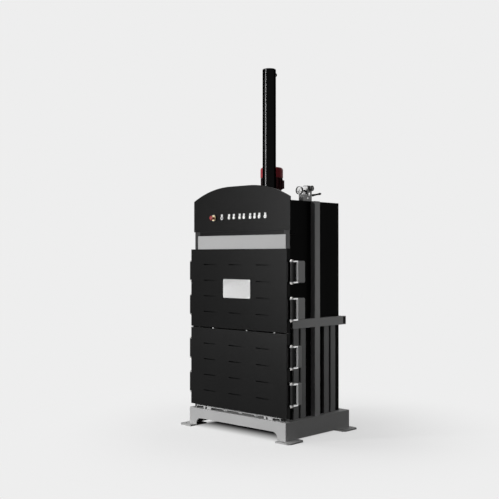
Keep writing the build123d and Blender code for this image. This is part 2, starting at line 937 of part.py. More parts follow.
rings = []
blocks = []
for x in switch_positions:
    ring, case = switch_unit(x, switch_z, bezel_radius, bezel_proud)
    rings.append(ring)
    blocks.append(case)
stop_ring, stop_block = switch_unit(stop_x, stop_z, stop_collar_radius, stop_collar_proud)
write("switch_bezels", Compound(rings))
write("stop_collar", stop_ring)
write("contact_blocks", Compound(blocks + [stop_block]))


def switch_cap(x):
    """A round cap with a square plunger behind it."""
    end = hood_front + hood_sheet - button_travel - button_spare
    cap = through(Pos(x, switch_z) * Circle(cap_radius), hood_front - cap_proud, end)
    plunger = Pos(x, switch_z) * Rectangle(plunger_side, plunger_side)
    return cap + through(plunger, end - 1, hood_front + hood_sheet + plunger_length)


lamps = []
button_number = 0
for x, kind in zip(switch_positions, switch_kinds):
    if kind == "lamp":
        lamps.append(switch_cap(x))
    elif kind == "selector":
        grip = Pos(x, switch_z) * Rectangle(selector_grip, 2 * cap_radius - selector_grip / 2)
        body = Pos(x, switch_z) * Circle(cap_radius)
        spindle = Pos(x, switch_z) * Circle(plunger_side / 2)
        cap_end = hood_front + hood_sheet - button_spare
        knob = through(grip, hood_front - cap_proud - selector_proud, hood_front - cap_proud + 1)
        knob += through(body, hood_front - cap_proud, cap_end)
        knob += through(spindle, cap_end - 1, hood_front + hood_sheet + plunger_length)
        write("selector_knob", knob)
    else:
        button_number += 1
        write(f"push_button_{button_number}", switch_cap(x))
write("lamp_lenses", Compound(lamps))

# Emergency stop head: a mushroom on a round neck with a square plunger
neck_end = stop_head_proud + hood_sheet - stop_travel - button_spare
stop_head = turned(
    [
        (0, 0),
        (stop_dome_radius, 1),
        (stop_head_radius, stop_dome),
        (stop_head_radius, stop_rim),
        (cap_radius, stop_head_depth),
        (cap_radius, neck_end),
        (0, neck_end),
    ],
    stop_x,
    stop_z,
    hood_front - stop_head_proud,
)
plunger = Pos(stop_x, stop_z) * Rectangle(plunger_side, plunger_side)
stop_head += through(plunger, hood_front - stop_travel, hood_front + hood_sheet + plunger_length)
write("stop_head", stop_head)


# Valve block: an upright body on a longer foot, with ears for the lever
def valve_block():
    top = body_top + valve_height
    step = body_top + valve_foot_height
    side_view = Polyline(
        (valve_foot_front, body_top),
        (valve_foot_front, step),
        (valve_y[0], step),
        (valve_y[0], top),
        (valve_y[1], top),
        (valve_y[1], body_top),
        close=True,
    )
    right = valve_x + valve_width / 2
    body = across(make_face(side_view), valve_x - valve_width / 2, right)
    body = chamfer(body.edges().group_by(Axis.Z)[-1], valve_chamfer)
    pocket = Pos(knob_y, knob_z) * Circle(knob_spindle + pin_clearance)
    body -= across(pocket, right - spindle_depth - 1, right + 1)
    ear = Pos(lever_y, lever_z) * Circle(ear_radius)
    ear += rectangle((valve_y[1] - 1, lever_y), (lever_z - ear_radius, lever_z + ear_radius))
    ear -= Pos(lever_y, lever_z) * Circle(lever_pin + pin_clearance)
    for side in (-1, 1):
        inner = valve_x + side * ear_gap / 2
        outer = inner + side * ear_thickness
        body += across(ear, min(inner, outer), max(inner, outer))
    return body


write("valve_block", valve_block())

# Gauge: case with its stem, dial and glass
case_points = [
    (gauge_radius - gauge_wall, 0),
    (gauge_radius, 0),
    (gauge_radius, gauge_depth),
    (stem_radius, gauge_depth),
    (stem_radius, valve_y[0] - gauge_front),
    (0, valve_y[0] - gauge_front),
    (0, gauge_dial_depth + gauge_dial_sheet),
    (gauge_radius - gauge_wall, gauge_dial_depth + gauge_dial_sheet),
]
write("gauge_case", turned(case_points, valve_x, gauge_z, gauge_front))
gauge_centre = Pos(valve_x, gauge_z)
dial_disc = gauge_centre * Circle(gauge_radius - gauge_wall - pin_clearance)
dial_hole = gauge_centre * Circle(spindle_radius + pin_clearance)
dial_front = gauge_front + gauge_dial_depth
write("gauge_dial", through(dial_disc - dial_hole, dial_front, dial_front + gauge_dial_sheet))
write("gauge_glass", through(dial_disc, gauge_front + 1, gauge_front + 3))


def gauge_needle():
    """A thin tapered pointer on its spindle, at rest at the lower left of the scale."""
    tip = gauge_radius - gauge_wall - needle_tip_gap
    half = needle_width / 2
    thin = half / 3
    outline = Polyline((-needle_tail, -half), (-needle_tail, half), (tip, thin), (tip, -thin), close=True)
    placed = gauge_centre * Rot(0, 0, needle_rest_angle) * make_face(outline)
    needle = through(placed, dial_front - 3, dial_front - 2)
    spindle = gauge_centre * Circle(spindle_radius)
    return needle + through(spindle, dial_front - 2.5, dial_front + gauge_dial_sheet - 0.1)


write("gauge_needle", gauge_needle())

# Pressure knob: a small spoked wheel on the right side of the valve block
block_side = valve_x + valve_width / 2
wheel_place = Pos(knob_y, knob_z)
wheel = wheel_place * (Circle(knob_radius) - Circle(knob_radius - knob_rim))
wheel += wheel_place * Circle(knob_hub)
for turn in (0, 90):
    wheel += wheel_place * Rot(0, 0, turn) * Rectangle(2 * knob_radius - knob_rim, knob_spoke)
knob = across(wheel, block_side + knob_gap, block_side + knob_gap + knob_thickness)
knob += across(wheel_place * Circle(knob_spindle), block_side - spindle_depth, block_side + knob_gap + 1)
write("pressure_knob", knob)


# Valve lever: an eye with its pin between the ears, a round arm and a ball
def valve_lever():
    centre = Pos(lever_y, lever_z)
    half = ear_gap / 2 - pin_clearance
    eye = across(centre * Circle(lever_eye_radius), valve_x - half, valve_x + half)
    reach = ear_gap / 2 + ear_thickness + 2
    eye += across(centre * Circle(lever_pin), valve_x - reach, valve_x + reach)
    slope = radians(lever_slope)
    along = (0, cos(slope), sin(slope))
    foot = Plane(origin=(valve_x, lever_y, lever_z), z_dir=along)
    arm = extrude(foot * Circle(lever_radius), lever_length)
    grip = turned_upright(
        [
            (0, lever_length - lever_grip),
            (lever_radius + 1, lever_length - lever_grip),
            (lever_ball, lever_length - lever_ball),
            (lever_ball, lever_length),
            (lever_tip, lever_length + lever_tip),
            (0, lever_length + lever_tip),
        ],
        0,
        0,
    )
    tilt = Pos(valve_x, lever_y, lever_z) * Rot(lever_slope - 90, 0, 0)
    return eye + arm + tilt * grip


write("valve_lever", valve_lever())
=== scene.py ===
# %% [markdown]
# An upright recycling baler
#
# A baler presses loose cardboard and film into bales. This one is a steel box with two
# doors, ribs that hold the pressure in, an arched control panel and a tall press
# cylinder on top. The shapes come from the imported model, which is loaded first and
# never moved. Everything after that is finish, small pieces and light.

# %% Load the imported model
import math
import bpy
from mathutils import Matrix, Vector


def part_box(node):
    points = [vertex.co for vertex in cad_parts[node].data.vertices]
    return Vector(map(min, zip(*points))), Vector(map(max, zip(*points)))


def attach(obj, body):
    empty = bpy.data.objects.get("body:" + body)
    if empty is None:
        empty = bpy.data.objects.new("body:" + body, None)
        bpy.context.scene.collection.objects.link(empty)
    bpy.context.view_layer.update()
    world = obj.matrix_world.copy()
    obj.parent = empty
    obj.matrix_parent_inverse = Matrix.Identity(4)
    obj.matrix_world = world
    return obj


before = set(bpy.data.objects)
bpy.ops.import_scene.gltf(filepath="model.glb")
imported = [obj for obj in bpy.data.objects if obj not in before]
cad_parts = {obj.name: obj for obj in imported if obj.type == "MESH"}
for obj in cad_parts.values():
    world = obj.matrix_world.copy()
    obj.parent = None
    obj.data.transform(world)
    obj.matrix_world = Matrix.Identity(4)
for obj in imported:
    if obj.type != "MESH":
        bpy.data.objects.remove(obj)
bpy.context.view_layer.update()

# %% [markdown]
# The camera
#
# The photograph was taken from the front right, about 7.7 m away, at eye height and with
# a long lens. The camera is almost level, so upright edges stay parallel. It could be
# placed by eye, but then every proportion would be a little wrong, so its place and its
# lens were worked out from the machine's outline.

# %% Camera
CAMERA_PLACE = (5.132, -5.703, 1.500)
CAMERA_TURN = math.radians(43.17)
CAMERA_TILT = math.radians(90.51)
SENSOR_WIDTH = 36.0
LENS = 62.34
VIEW_END = 200.0

camera = bpy.data.objects.new("camera", bpy.data.cameras.new("camera"))
bpy.context.scene.collection.objects.link(camera)
camera.location = CAMERA_PLACE
camera.rotation_euler = (CAMERA_TILT, 0.0, CAMERA_TURN)
camera.data.sensor_width = SENSOR_WIDTH
camera.data.lens = LENS
camera.data.clip_end = VIEW_END
bpy.context.scene.camera = camera
bpy.context.scene.view_settings.view_transform = "Standard"
print("camera lens", LENS, "mm")

# %% [markdown]
# Shader maths
#
# A finish is a small sum: a base colour, a little clouding, dust on what faces up, wear
# on the edges. It could be wired by hand in the shader editor, but a sum of five terms is
# hard to read there. Here it is written as Python: a Field holds one socket, and its
# operators add the Math nodes.

# %% Field
class Field:
    """A value that changes over a surface. Sums on it add Math nodes to its tree."""

    def __init__(self, owner, socket):
        self.owner = owner
        self.socket = socket

    def math(self, operation, *others):
        inputs = dict(enumerate((self, *others)))
        return self.owner.node("ShaderNodeMath", {"operation": operation}, inputs)

    def __add__(self, other):
        return self.math("ADD", other)

    def __sub__(self, other):
        return self.math("SUBTRACT", other)

    def __rsub__(self, other):
        return self.math("MULTIPLY_ADD", -1.0, other)

    def __mul__(self, other):
        return self.math("MULTIPLY", other)

    __radd__ = __add__
    __rmul__ = __mul__

    def step(self, start, end):
        """0 at start and 1 at end, with a smooth change between them."""
        inputs = {"Value": self, "From Min": start, "From Max": end}
        return self.owner.node("ShaderNodeMapRange", {"interpolation_type": "SMOOTHSTEP"}, inputs)


print("fields ready")

# %% [markdown]
# Node trees and finishes
#
# A material and the world are both trees of nodes. Nodes holds such a tree and adds any
# node with its settings and inputs. A Finish is the tree of one material. What its shader
# is linked to now can be asked for, so a finish can be made first and then changed in
# places, such as on a flange painted lighter.

# %% Any tree of nodes
class Nodes:
    """A tree of nodes. Plain numbers are set on a socket, and fields are linked to it."""

    def __init__(self, tree):
        self.tree = tree

    def feed(self, socket, value):
        if isinstance(value, Field):
            self.tree.links.new(value.socket, socket)
        else:
            socket.default_value = value

    def node(self, kind, settings, inputs, output=0):
        """Add a node, and give one of its outputs back as a field."""
        made = self.tree.nodes.new(kind)
        for key, value in settings.items():
            setattr(made, key, value)
        for key, value in inputs.items():
            self.feed(made.inputs[key], value)
        return Field(self, made.outputs[output])


print("node trees ready")

# %% The finish of a piece
MIX_FACTOR, MIX_FIRST, MIX_SECOND, MIX_RESULT = 0, 6, 7, 2


class Finish(Nodes):
    """One material. Its patterns read Object coordinates, kept as its place."""

    def __init__(self, name, **values):
        self.material = bpy.data.materials.new(name)
        self.material.use_nodes = True
        super().__init__(self.material.node_tree)
        self.shader = self.tree.nodes["Principled BSDF"]
        self.place = self.node("ShaderNodeTexCoord", {}, {}, "Object")
        self.set(**values)

    def socket(self, key):
        """The shader's socket for a key such as base_color."""
        return self.shader.inputs[key.replace("_", " ").title().replace("Ior", "IOR")]

    def set(self, **values):
        for key, value in values.items():
            self.feed(self.socket(key), value)

    def now(self, key):
        """What feeds a socket of the shader now, so that it can be mixed with more."""
        return Field(self, self.socket(key).links[0].from_socket)

    def noise(self, scale, detail, stretch=None):
        place = self.place
        if stretch:
            place = self.node("ShaderNodeMapping", {}, {"Vector": place, "Scale": stretch})
        inputs = {"Vector": place, "Scale": scale, "Detail": detail}
        return self.node("ShaderNodeTexNoise", {}, inputs)

    def part(self, vector, axis):
        """The X, Y or Z of a vector."""
        return self.node("ShaderNodeSeparateXYZ", {}, {"Vector": vector}, axis)

    def mix(self, factor, first, second):
        """The first colour where factor is 0, the second where it is 1."""
        inputs = {MIX_FACTOR: factor, MIX_FIRST: first, MIX_SECOND: second}
        return self.node("ShaderNodeMix", {"data_type": "RGBA"}, inputs, MIX_RESULT)

    def bump(self, height, strength, distance):
        inputs = {"Height": height, "Strength": strength, "Distance": distance}
        self.set(normal=self.node("ShaderNodeBump", {}, inputs))


def grey(level):
    """A neutral colour, as light (not as a screen value)."""
    return (level, level, level, 1.0)


print("finishes ready")

# %% [markdown]
# Dust, worn edges and painted edge sheen
#
# Dust settles on what faces up. Paint wears where hands, straps and forks rub: on the
# edges. The lighter edges are also a painted highlight, the sheen that a rounded edge
# would catch. Pointiness could find the edges, but it needs a dense mesh. The distance to an
# edge of a box is the middle one of the three distances to its nearest faces, so a node's
# own box is enough to find its edges, with no extra geometry.

# %% Masks for dust and edges
STEEP, LEVEL = 0.55, 0.95


def facing_up(finish):
    """1 on faces that look up, 0 on upright and steep ones."""
    normal = finish.node("ShaderNodeNewGeometry", {}, {}, "Normal")
    return finish.part(normal, "Z").step(STEEP, LEVEL)


def edge_distance(finish, low, high):
    """Distance in metres from the nearest edge of a box."""
    gaps = []
    for axis in range(3):
        middle = (low[axis] + high[axis]) / 2
        half = (high[axis] - low[axis]) / 2
        offset = (finish.part(finish.place, "XYZ"[axis]) - middle).math("ABSOLUTE")
        gaps.append(half - offset)
    first, second, third = gaps
    smaller = first.math("MINIMUM", second)
    larger = first.math("MAXIMUM", second)
    return smaller.math("MAXIMUM", larger.math("MINIMUM", third))


print("dust lies where the normal's upward part is over", STEEP)

# %% [markdown]
# Powder coat
#
# Panels and frame are powder coated, black on the panels and light grey on the frame. One
# flat colour would do from far away, but powder coat is never flat: it melts into fine
# orange peel, its gloss drifts a little over a wide sheet, and its edges rub bright. That
# lighter edge is wear and also a painted highlight, the sheen of an edge. The peel is bump,
# the rest is colour and roughness. The black coat is a deep one that gives back very little
# light, so its specular level, the gleam, is low.

# %% Powder coat
DUST = (0.30, 0.29, 0.27, 1.0)
SHEEN_AND_WEAR_WIDTH = 0.004
CLOUD_GLOSS = 0.08
FINE_GLOSS = 0.06


def powder_coat(name, box, level, roughness, gleam, sheen_and_wear, sheen_and_wear_level, dust):
    """A powder coat for one piece; sheen_and_wear is how strongly its edges are lightened, by
    wear and by a painted edge highlight.
    """
    coat = Finish(name, specular_ior_level=gleam)
    cloud = coat.noise(scale=2.3, detail=4.0)
    fine = coat.noise(scale=38.0, detail=5.0)
    edge = 1 - edge_distance(coat, *box).step(0.0, SHEEN_AND_WEAR_WIDTH)
    # Wear and painted highlight: the edges are mixed toward a lighter level, as worn paint and as
    # the sheen of an edge.
    edge_sheen_and_wear = edge * coat.noise(scale=60.0, detail=6.0).step(0.42, 0.66) * sheen_and_wear
    dusty = facing_up(coat) * coat.noise(scale=9.0, detail=6.0).step(0.30, 0.75) * dust
    base = coat.mix(cloud, grey(level * 0.88), grey(level * 1.10))
    base = coat.mix(edge_sheen_and_wear, base, grey(sheen_and_wear_level))
    base = coat.mix(dusty, base, DUST)
    smoothest = roughness - (CLOUD_GLOSS + FINE_GLOSS) / 2
    gloss = cloud * CLOUD_GLOSS + fine * FINE_GLOSS + smoothest + dusty * 0.5 - edge_sheen_and_wear * 0.10
    coat.set(base_color=base, roughness=gloss)
    coat.bump(coat.noise(scale=420.0, detail=2.0), strength=0.12, distance=0.0005)
    return coat


BLACK = dict(level=0.0036, roughness=0.31, gleam=0.036, sheen_and_wear=0.30, sheen_and_wear_level=0.050, dust=0.05)
LOWER_BLACK = dict(BLACK, gleam=0.060)
DEEP_BLACK = dict(BLACK, level=0.0030, gleam=0.012)
GREY = dict(level=0.430, roughness=0.50, gleam=0.15, sheen_and_wear=0.35, sheen_and_wear_level=0.56, dust=0.12)
# Painted shade: the crosspiece's grey is a little darker, against the stronger light that falls
# on it.
BEAM_SHADED_GREY = dict(GREY, level=0.400)
# Painted shade: the ribs' grey is darker, standing in for the shade of their recess.
RIB_SHADED_GREY = dict(GREY, level=0.240, sheen_and_wear_level=0.34)
print("black reflects", BLACK["level"], "and grey", GREY["level"], "of the light")

# %% [markdown]
# Which piece gets which coat
#
# The frame, the crosspiece, the brackets and the base are light grey, and the sheets, the
# doors and the hood black. The ribs get the same grey painted darker, a painted shade for
# their recess, and the crosspiece a grey painted a little darker, a painted shade against
# the stronger light it gets. One material could serve all pieces of a colour, but the
# lighter edges follow a piece's own box, so each piece gets its own copy of the coat.

# %% Coat the frame and the panels
def dress(finish, *nodes):
    """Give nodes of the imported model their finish."""
    for node in nodes:
        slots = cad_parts[node].data.materials
        slots.clear()
        slots.append(finish.material)


COATS = [
    ("grey_coat", GREY, (
        "base_frame", "floor_plate", "rear_belt", "strap_guides",
        "foot_plate_front_left", "foot_plate_front_right",
        "foot_plate_rear_left", "foot_plate_rear_right",
        "column_left", "column_right", "belts_left", "belts_right", "brackets_left")),
    ("grey_coat", BEAM_SHADED_GREY, ("front_beam",)),
    ("rib_shaded_coat", RIB_SHADED_GREY, ("ribs_left", "ribs_right", "ribs_rear")),
    ("black_coat", BLACK, ("header_plate", "hood", "upper_door")),
    ("black_coat", LOWER_BLACK, ("lower_door",)),
    ("deep_black_coat", DEEP_BLACK, (
        "rear_wall", "top_plate", "shoulder_cover_left", "shoulder_cover_right",
        "oil_tank", "cylinder_flange")),
]
for name, coat, nodes in COATS:
    for node in nodes:
        dress(powder_coat(f"{name}_{node}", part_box(node), **coat), node)
    print(name, "on", len(nodes), "nodes")

# %% [markdown]
# Front flanges painted lighter
#
# The front edge of each side wall is folded into a narrow flange, and the doors close
# against it. It is painted a little lighter than the sheet: painted light, in place of the
# light that does not reach it. A second material on those faces would need them picked
# out in the mesh, which is never changed. Their place is enough: what lies in front of one
# upright plane takes the lighter colour.

# %% Painted light on the flanges
FLANGE_FACE = -0.3495
SHARP = 0.0005


def in_front(finish, plane, fade):
    """1 in front of an upright plane across the machine, fading to 0 behind it."""
    return 1 - finish.part(finish.place, "Y").step(plane, plane + fade)


for node in ("side_wall_left", "side_wall_right"):
    coat = powder_coat(f"flange_coat_{node}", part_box(node), **DEEP_BLACK)
    # Painted light: a lighter black on the flange, in place of light it does not get.
    lightened = coat.mix(coat.noise(scale=30.0, detail=5.0), grey(0.040), grey(0.060))
    flange = in_front(coat, FLANGE_FACE, SHARP)
    coat.set(base_color=coat.mix(flange, coat.now("base_color"), lightened))
    dress(coat, node)
print("flanges rubbed in front of y", FLANGE_FACE, "m")

# %% [markdown]
# Painted light on the lock brackets
#
# The brackets that hold the lock pins are coated grey like the frame. Their front faces
# are paler than their sides, but the pins and the doors shade them, so the same mask in
# front of a plane turns them to a pale, rough metal that gives back the bright world:
# painted light. The very tips are painted darker, a painted shade that keeps them from
# glaring, so a second, softer mask mixes in a darker metal.

# %% Lock brackets
LOCK_FACE = -0.3025
LOCK_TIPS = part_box("brackets_right")[0][1] + 0.010
TIPS_FADE = 0.020
PAINTED_LIGHT_ROUGHNESS = 0.82

coat = powder_coat("lock_bracket_coat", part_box("brackets_right"), **GREY)
# Painted light: pale metal on the front faces, and a darker grey at the tips as painted shade.
brightened = in_front(coat, LOCK_FACE, SHARP)
painted_light_metal = coat.mix(coat.noise(scale=40.0, detail=5.0), grey(0.80), grey(0.92))
painted_light_metal = coat.mix(in_front(coat, LOCK_TIPS, TIPS_FADE), painted_light_metal, grey(0.30))
gloss = coat.now("roughness") * (1 - brightened) + brightened * PAINTED_LIGHT_ROUGHNESS
painted = coat.now("base_color")
coat.set(metallic=brightened, base_color=coat.mix(brightened, painted, painted_light_metal), roughness=gloss)
dress(coat, "brackets_right")
print("brackets bare in front of y", LOCK_FACE, "m")

# %% [markdown]
# The cylinder
#
# The press cylinder is much glossier than the panels: the photograph shows one bright
# line down its left side and a nearly black body. Black lacquer is one way, but it
# mirrors the pale background strongly at its sides. Black chrome is a metal whose own
# colour is almost black, so it gives back only a little even of a bright light. Its faint
# waves are stretched along the tube.

# %% Black chrome
black_chrome = Finish("black_chrome", metallic=1.0, specular_tint=grey(0.0))
drift = black_chrome.noise(scale=4.0, detail=3.0)
black_chrome.set(base_color=black_chrome.mix(drift, grey(0.0040), grey(0.0060)),
                 roughness=drift * 0.04 + 0.09)
waves = black_chrome.noise(scale=30.0, detail=2.0, stretch=(1.0, 1.0, 0.03))
black_chrome.bump(waves, strength=0.006, distance=0.0004)
dress(black_chrome, "cylinder_tube")
print("cylinder finished in black chrome")

# %% [markdown]
# The motor
# The motor is red. Its cowl is a smooth sheet, and its cast body is rougher, in the
# cowl's red painted about ten times darker: painted shade. Both are sprayed, so one helper
# paints them: two close colours are mixed by clouding, and grime lies on what faces up.

# %% Sprayed red
GRIME = (0.10, 0.09, 0.08, 1.0)


def sprayed(name, colour, dark, roughness, gleam):
    """Sprayed paint: a slightly uneven colour, with grime on top."""
    paint = Finish(name, specular_ior_level=gleam)
    cloud = paint.noise(scale=5.0, detail=4.0)
    grime = paint.noise(scale=24.0, detail=6.0).step(0.55, 0.85) * facing_up(paint) * 0.25
    base = paint.mix(cloud, (*dark, 1.0), (*colour, 1.0))
    base = paint.mix(grime, base, GRIME)
    paint.set(base_color=base, roughness=cloud * 0.06 + grime * 0.5 + roughness)
    paint.bump(paint.noise(scale=30.0, detail=2.0), strength=0.02, distance=0.0004)
    return paint


dress(sprayed("red_lacquer", colour=(0.300, 0.026, 0.034), dark=(0.240, 0.018, 0.025),
              roughness=0.34, gleam=0.08), "motor_cowl")
# Painted shade: the body is the cowl's red, about ten times darker.
dress(sprayed("red_casting_in_painted_shade", colour=(0.030, 0.003, 0.004), dark=(0.018, 0.002, 0.003),
              roughness=0.60, gleam=0.1), "motor")
print("motor painted")

# %% [markdown]
# Bare metal
#
# The valve block is cast steel, and the piston rod is hard chrome. A plain metallic
# material looks too clean for either. Turned and drawn metal has fine lines along its
# length and faint stains, so its noise is stretched, and the stains dull both its colour
# and its gloss.

# %% Bare metal
LINE_GLOSS = 0.14


def plated(name, level, roughness, stretch=(1.0, 1.0, 1.0), warm=0.0):
    """Plated or drawn metal with fine lines; warm makes it a little more yellow."""
    metal = Finish(name, metallic=1.0, specular_tint=grey(0.0))
    lines = metal.noise(scale=60.0, detail=6.0, stretch=stretch)
    stain = metal.noise(scale=14.0, detail=5.0).step(0.45, 0.80)
    bright = (level + warm, level, level - warm, 1.0)
    dull = (level * 0.62 + warm, level * 0.60, level * 0.56, 1.0)
    metal.set(base_color=metal.mix(stain * 0.6, bright, dull))
    metal.set(roughness=lines * LINE_GLOSS + stain * 0.12 + (roughness - LINE_GLOSS / 2))
    metal.bump(lines, strength=0.12, distance=0.0004)
    return metal


dress(plated("cast_steel", level=0.15, roughness=0.46, stretch=(0.6, 1.0, 1.0)), "valve_block")
dress(plated("hard_chrome", level=0.74, roughness=0.12, stretch=(1.0, 1.0, 0.05)), "piston_rod")
print("valve block and piston rod ready")

# %% [markdown]
# The pins
#
# The hinge pins and the lock pins are zinc plated, and dark where they run between the
# arms of their brackets, so only their heads stay bright. Head and middle could be two
# materials, but the mesh is never changed, so the height decides: four bands, one for
# each bracket, take the dark colour.

# %% Pins
BRACKET_MIDDLES = (1.379, 1.075, 0.687, 0.383)
BRACKET_HALF = 0.091
BAND_FADE = 0.002

pin_metal = plated("pin_metal", level=0.26, roughness=0.48, stretch=(1.0, 1.0, 0.15), warm=0.008)
height = pin_metal.part(pin_metal.place, "Z")
bands = [1 - (height - middle).math("ABSOLUTE").step(BRACKET_HALF - BAND_FADE, BRACKET_HALF)
         for middle in BRACKET_MIDDLES]
darkened = bands[0]
for band in bands[1:]:
    darkened = darkened + band
pin_metal.set(base_color=pin_metal.mix(darkened, pin_metal.now("base_color"), grey(0.020)))
dress(pin_metal, "hinge_pins", "lock_pin_upper_door_top", "lock_pin_upper_door_bottom",
      "lock_pin_lower_door_top", "lock_pin_lower_door_bottom")
print("pins oiled in", len(bands), "bands")

# %% [markdown]
# The platen
#
# The platen is the plate that presses the bale. Cardboard has rubbed its edges through
# the coat and greyed the rest. It has the same powder coat as the panels, with a lighter
# level and three times the wear.

# %% Platen
PLATEN = dict(level=0.045, roughness=0.52, gleam=0.3, sheen_and_wear=0.9, sheen_and_wear_level=0.30, dust=0.25)
dress(powder_coat("platen_coat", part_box("platen"), **PLATEN), "platen")
print("platen worn by", PLATEN["sheen_and_wear"])

# %% [markdown]
# Plastics
#
# The caps, the knobs and the guide pads are moulded plastic. A moulding has a fine satin
# grain and collects a little grey in use. The grain is far too fine to model, so it is
# bump, and the use is a darker mix of the same colour with a duller gloss.

# %% Plastics
def moulded(name, colour, roughness, gleam=0.5):
    """Moulded plastic with a satin grain."""
    plastic = Finish(name, specular_ior_level=gleam)
    used = plastic.noise(scale=70.0, detail=5.0).step(0.50, 0.85)
    dull = tuple(part * 0.80 for part in colour)
    plastic.set(base_color=plastic.mix(used * 0.7, (*colour, 1.0), (*dull, 1.0)))
    plastic.set(roughness=used * 0.12 + roughness)
    plastic.bump(plastic.noise(scale=1200.0, detail=2.0), strength=0.10, distance=0.0003)
    return plastic


dress(moulded("white_cap", (0.70, 0.70, 0.68), roughness=0.36, gleam=0.12),
      "lamp_lenses", "selector_knob", *(f"push_button_{number}" for number in range(1, 6)))
dress(moulded("black_plastic", (0.012, 0.012, 0.013), roughness=0.42),
      "contact_blocks", "motor_fan", "gauge_case", "pressure_knob", "valve_lever",
      "gauge_needle")
dress(moulded("red_head", (0.30, 0.014, 0.012), roughness=0.14), "stop_head")
dress(moulded("dial_face", (0.92, 0.92, 0.91), roughness=0.45), "gauge_dial")
dress(moulded("guide_plastic", (0.58, 0.57, 0.52), roughness=0.45), "guide_pads")
dress(plated("bezel_metal", level=0.34, roughness=0.40), "switch_bezels")
print("plastics and bezels ready")

# %% [markdown]
# The collar of the emergency stop
#
# The collar is a pale yellow disc whose rim is dark where it turns back to the hood: a
# shadow line painted into its colour. The rim could be a piece of its own, but it is only a
# few millimetres wide, so the distance from the collar's axis paints it darker.

# %% Emergency stop
RIM_START, RIM_END = 0.0245, 0.0265
RIM_SHADOW = (0.020, 0.018, 0.015, 1.0)

low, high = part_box("stop_collar")
collar = moulded("yellow_collar", (0.92, 0.76, 0.42), roughness=0.34)
across = collar.part(collar.place, "X") - (low.x + high.x) / 2
upward = collar.part(collar.place, "Z") - (low.z + high.z) / 2
from_axis = (across * across + upward * upward).math("SQRT")
# Painted shadow: the collar's rim is darkened as a shadow line.
rim_shadow = from_axis.step(RIM_START, RIM_END)
collar.set(base_color=collar.mix(rim_shadow, collar.now("base_color"), RIM_SHADOW))
dress(collar, "stop_collar")
print("collar dark outside", RIM_START, "m")

# %% [markdown]
# The gauge glass
#
# The gauge is covered by clear acrylic. Real refraction would bend the dial behind it and
# is slow to render. The sheet is thin enough for light to pass straight on, so it is
# almost clear by its alpha, and only a little of its gloss, with faint smears, is seen.

# %% Glass
glass = Finish("gauge_glass", alpha=0.06, base_color=grey(0.9))
glass.set(roughness=glass.noise(scale=40.0, detail=4.0) * 0.05 + 0.02)
dress(glass, "gauge_glass")
print("glass ready")

# %% [markdown]
# Tools for the small pieces
#
# New pieces are modelled as by hand: a primitive is added where the piece goes, and
# shaped in edit mode. Lists of corners and faces would be the other way, but nobody can
# see the shape in them. An operator acts on all that is selected, so everything is
# deselected first, and what it acts on is then picked by place or by direction.

# %% Start a piece and pick its parts
ALIGNED = 0.99


def begin():
    """Deselect everything, so that the next operator acts on the new piece alone."""
    bpy.ops.object.select_all(action="DESELECT")


def edit(piece):
    """Put the place and size into the mesh and open it for modelling."""
    bpy.ops.object.transform_apply(location=True, rotation=True, scale=True)
    bpy.ops.object.mode_set(mode="EDIT")
    return piece


def pick(piece, kind, wanted):
    """Select the faces, edges or corners for which wanted(middle, direction) is true."""
    bpy.ops.mesh.select_mode(type=kind)
    bpy.ops.mesh.select_all(action="DESELECT")
    bpy.ops.object.mode_set(mode="OBJECT")
    mesh = piece.data
    for element in {"FACE": mesh.polygons, "EDGE": mesh.edges, "VERT": mesh.vertices}[kind]:
        if kind == "VERT":
            middle, direction = element.co, element.normal
        else:
            ends = [mesh.vertices[index].co for index in element.vertices]
            middle = sum(ends, Vector()) / len(ends)
            along = (ends[1] - ends[0]).normalized()
            direction = element.normal if kind == "FACE" else along
        element.select = bool(wanted(middle, direction))
    bpy.ops.object.mode_set(mode="EDIT")


def faces_front(middle, normal):
    return normal.y < -ALIGNED


print("directions count as aligned from", ALIGNED)

# %% Close a piece and copy it
SMOOTH_ANGLE = 35.0


def end(piece, name, finish, body, slot, smooth=SMOOTH_ANGLE):
    """Close a piece: name it, shade it, give it its finish and let it ride on its body."""
    bpy.ops.object.mode_set(mode="OBJECT")
    bpy.ops.object.shade_smooth_by_angle(angle=math.radians(smooth))
    piece.name = name
    piece.data.name = name
    piece.data.materials.clear()
    piece.data.materials.append(finish.material)
    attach(piece, body)


def copy_to(piece, name, shift, body):
    """A copy of a finished piece, with its own mesh, moved by shift."""
    twin = piece.copy()
    twin.data = piece.data.copy()
    twin.name = name
    twin.data.name = name
    twin.data.transform(Matrix.Translation(shift))
    bpy.context.scene.collection.objects.link(twin)
    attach(twin, body)


print("edges stay sharp over", SMOOTH_ANGLE, "degrees")

# %% [markdown]
# Two shapes that come back
#
# The plate, the labels and the ticks of the gauge are all thin sheets that face the front
# and have round corners. The gauge's ring and the weld are both profiles spun full
# circle. Each gets one helper. Spinning leaves a doubled seam and may turn the faces
# inward, so the seam is merged before the normals are recalculated.

# %% Thin sheets and spun rings
SEAM = 0.00002


def thin_sheet(place, size, corner, segments):
    """A thin sheet that faces the front, with its four corners rounded."""
    begin()
    bpy.ops.mesh.primitive_cube_add(size=1.0, location=place, scale=size)
    made = edit(bpy.context.object)
    pick(made, "EDGE", lambda middle, along: abs(along.y) > ALIGNED)
    bpy.ops.mesh.bevel(offset=corner, segments=segments, affect="EDGES")
    return made


def spin_round(steps, centre, axis):
    """Spin the profile in hand full circle and close it."""
    bpy.ops.mesh.select_all(action="SELECT")
    bpy.ops.mesh.spin(steps=steps, angle=math.tau, center=centre, axis=axis)
    bpy.ops.mesh.select_all(action="SELECT")
    bpy.ops.mesh.remove_doubles(threshold=SEAM)
    bpy.ops.mesh.normals_make_consistent(inside=False)


print("seams merge within", SEAM, "m")

